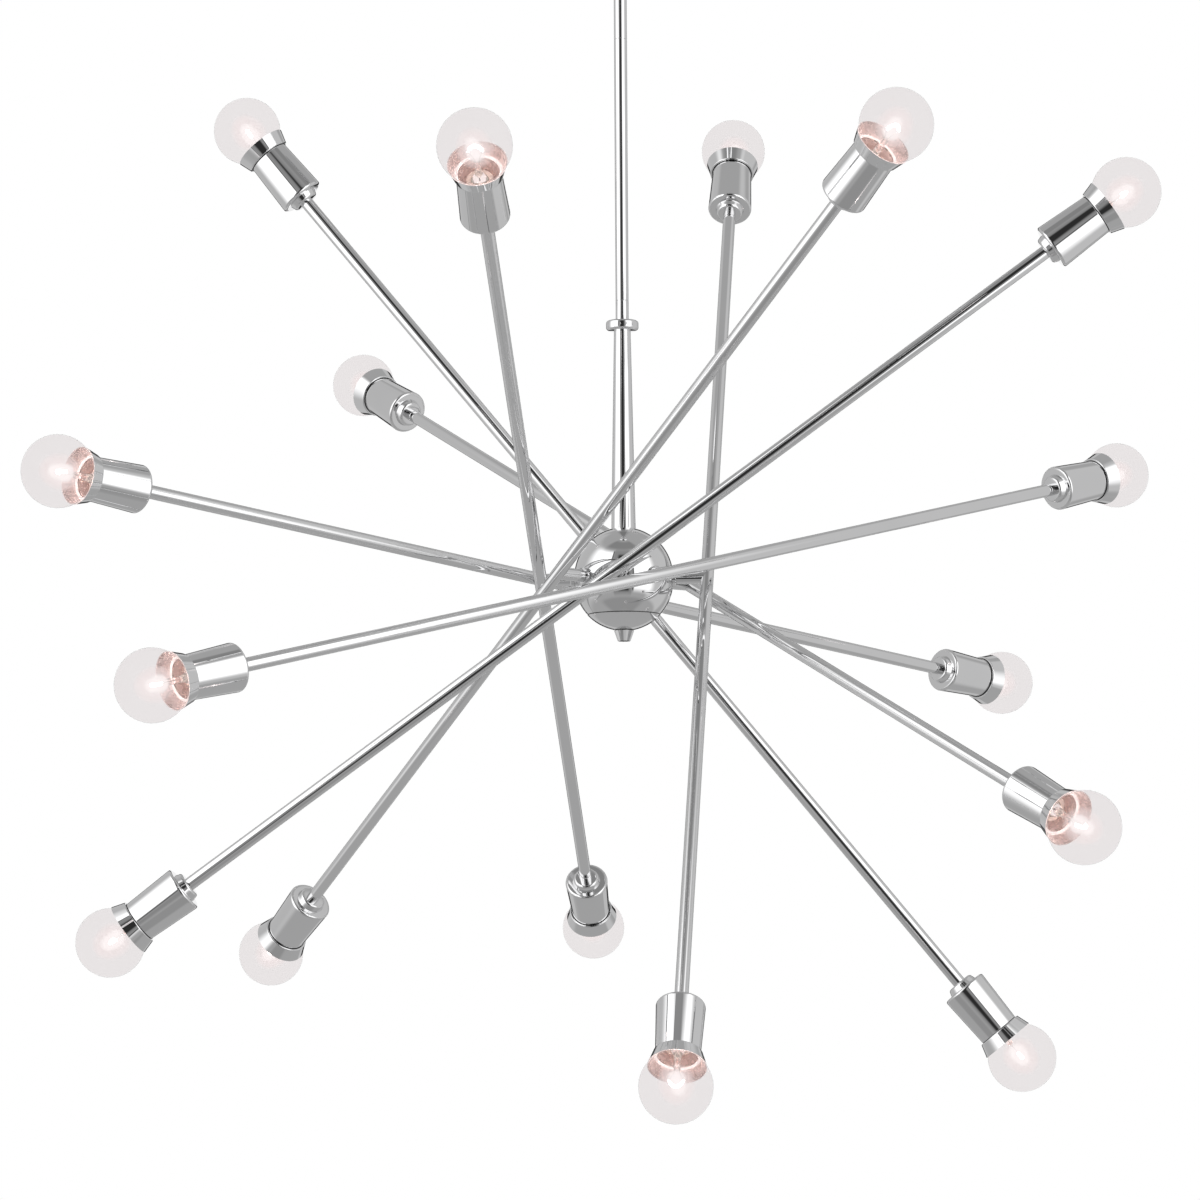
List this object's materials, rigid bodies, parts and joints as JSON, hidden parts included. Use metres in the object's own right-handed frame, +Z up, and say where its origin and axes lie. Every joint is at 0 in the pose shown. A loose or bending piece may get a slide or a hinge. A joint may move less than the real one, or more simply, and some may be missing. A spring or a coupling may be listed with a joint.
{
  "type": "sputnik chandelier",
  "caption": "Polished chrome sputnik chandelier: straight swivel rods set past a ball hub at many tilts, with a clear globe lamp at each rod end, on a tapered stem and downrods",
  "frame": {"origin": "the middle of the face that lies on the ceiling", "axes": "+Z is up, out of the ceiling face. -Y is the front, the side the picture was taken from. +X is the picture's right."},
  "size_m": [0.8222, 0.8528, 1.07],
  "materials": {
    "chrome": "polished",
    "zinc_steel": "zinc plated",
    "lampholder": "matte",
    "clear_glass": "clear"
  },
  "bodies": {
    "body": {"mounting_bar": "zinc_steel", "canopy": "chrome", "canopy_ring": "chrome", "threaded_nipples": "zinc_steel", "hex_nuts": "zinc_steel", "downrods": "chrome", "check_ring": "chrome", "tapered_stem": "chrome", "hub_shell": "chrome", "hub_cap": "chrome", "finial": "chrome", "pivot_bushes": "chrome"},
    "arm_1": {"arm_1_rod": "chrome", "arm_1_locknut": "zinc_steel", "arm_1_cups": "chrome", "arm_1_collars": "chrome", "arm_1_sockets": "lampholder", "arm_1_bulbs": "clear_glass"},
    "arm_2": {"arm_2_rod": "chrome", "arm_2_locknut": "zinc_steel", "arm_2_cups": "chrome", "arm_2_collars": "chrome", "arm_2_sockets": "lampholder", "arm_2_bulbs": "clear_glass"},
    "arm_3": {"arm_3_rod": "chrome", "arm_3_locknut": "zinc_steel", "arm_3_cups": "chrome", "arm_3_collars": "chrome", "arm_3_sockets": "lampholder", "arm_3_bulbs": "clear_glass"},
    "arm_4": {"arm_4_rod": "chrome", "arm_4_locknut": "zinc_steel", "arm_4_cups": "chrome", "arm_4_collars": "chrome", "arm_4_sockets": "lampholder", "arm_4_bulbs": "clear_glass"},
    "arm_5": {"arm_5_rod": "chrome", "arm_5_locknut": "zinc_steel", "arm_5_cups": "chrome", "arm_5_collars": "chrome", "arm_5_sockets": "lampholder", "arm_5_bulbs": "clear_glass"},
    "arm_6": {"arm_6_rod": "chrome", "arm_6_locknut": "zinc_steel", "arm_6_cups": "chrome", "arm_6_collars": "chrome", "arm_6_sockets": "lampholder", "arm_6_bulbs": "clear_glass"},
    "arm_7": {"arm_7_rod": "chrome", "arm_7_locknut": "zinc_steel", "arm_7_cups": "chrome", "arm_7_collars": "chrome", "arm_7_sockets": "lampholder", "arm_7_bulbs": "clear_glass"},
    "arm_8": {"arm_8_rod": "chrome", "arm_8_locknut": "zinc_steel", "arm_8_cups": "chrome", "arm_8_collars": "chrome", "arm_8_sockets": "lampholder", "arm_8_bulbs": "clear_glass"}
  },
  "joints": [
    {"name": "arm_1_swivel", "type": "hinge", "parent": "body", "child": "arm_1", "pos_m": [0, -0.0376, -0.658], "axis": [0, -1, 0], "range_deg": [-17.7, 42.3]},
    {"name": "arm_2_swivel", "type": "hinge", "parent": "body", "child": "arm_2", "pos_m": [0.02588, -0.02727, -0.658], "axis": [0.6884, -0.7254, 0], "range_deg": [-3.2, 64.8]},
    {"name": "arm_3_swivel", "type": "hinge", "parent": "body", "child": "arm_3", "pos_m": [0.0376, -0.00033, -0.658], "axis": [1, -0.0087, 0], "range_deg": [-36.5, 23.5]},
    {"name": "arm_4_swivel", "type": "hinge", "parent": "body", "child": "arm_4", "pos_m": [0.02659, 0.02659, -0.658], "axis": [0.7071, 0.7071, 0], "range_deg": [-8, 52]},
    {"name": "arm_5_swivel", "type": "hinge", "parent": "body", "child": "arm_5", "pos_m": [-0.00131, 0.03758, -0.658], "axis": [-0.0349, 0.9994, 0], "range_deg": [-26.7, 27.3]},
    {"name": "arm_6_swivel", "type": "hinge", "parent": "body", "child": "arm_6", "pos_m": [-0.02705, 0.02612, -0.658], "axis": [-0.7193, 0.6947, 0], "range_deg": [-1.2, 71.8]},
    {"name": "arm_7_swivel", "type": "hinge", "parent": "body", "child": "arm_7", "pos_m": [-0.0376, -0.00033, -0.658], "axis": [-1, -0.0087, 0], "range_deg": [-6.4, 45.6]},
    {"name": "arm_8_swivel", "type": "hinge", "parent": "body", "child": "arm_8", "pos_m": [-0.02682, -0.02635, -0.658], "axis": [-0.7133, -0.7009, 0], "range_deg": [-17.9, 42.1]}
  ]
}
